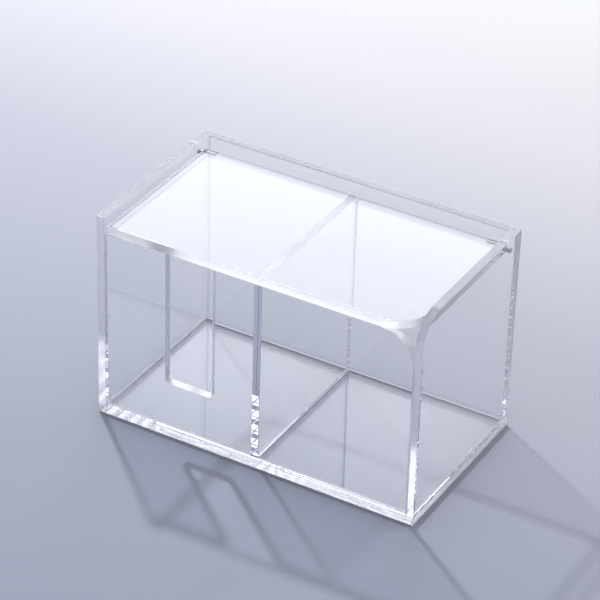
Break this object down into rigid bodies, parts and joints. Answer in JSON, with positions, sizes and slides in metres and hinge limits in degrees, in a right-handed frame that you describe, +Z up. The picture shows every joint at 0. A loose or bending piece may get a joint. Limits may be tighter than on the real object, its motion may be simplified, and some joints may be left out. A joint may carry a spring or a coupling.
{
  "type": "clear lidded make-up organizer box",
  "caption": "Clear acrylic box with a centre divider, an open front slot to one side, a rounded finger notch and a lid hinged on steel pins.",
  "frame": {"origin": "middle of the underside of the base plate", "axes": "+X to the right seen from the front, +Y towards the back, +Z up; the front panel with its slot faces -Y"},
  "size_m": [0.164, 0.091, 0.105],
  "materials": {
    "base_acrylic": "clear cast acrylic, polished edges",
    "wall_acrylic": "clear cast acrylic, polished edges",
    "front_acrylic": "clear cast acrylic, polished edges",
    "divider_acrylic": "clear cast acrylic, polished edges",
    "lid_acrylic": "clear cast acrylic, polished edges",
    "pin_steel": "turned stainless steel"
  },
  "bodies": {
    "case": {"base_plate": "base_acrylic", "left_side_panel": "wall_acrylic", "right_side_panel": "wall_acrylic", "back_panel": "wall_acrylic", "front_panel": "front_acrylic", "divider_panel": "divider_acrylic", "left_hinge_pin": "pin_steel", "right_hinge_pin": "pin_steel"},
    "lid": {"lid_panel": "lid_acrylic"}
  },
  "joints": [
    {"name": "lid_hinge", "type": "hinge", "parent": "case", "child": "lid", "pos_m": [0, 0.036, 0.099], "axis": [-1, 0, 0], "range_deg": [0, 118]}
  ]
}
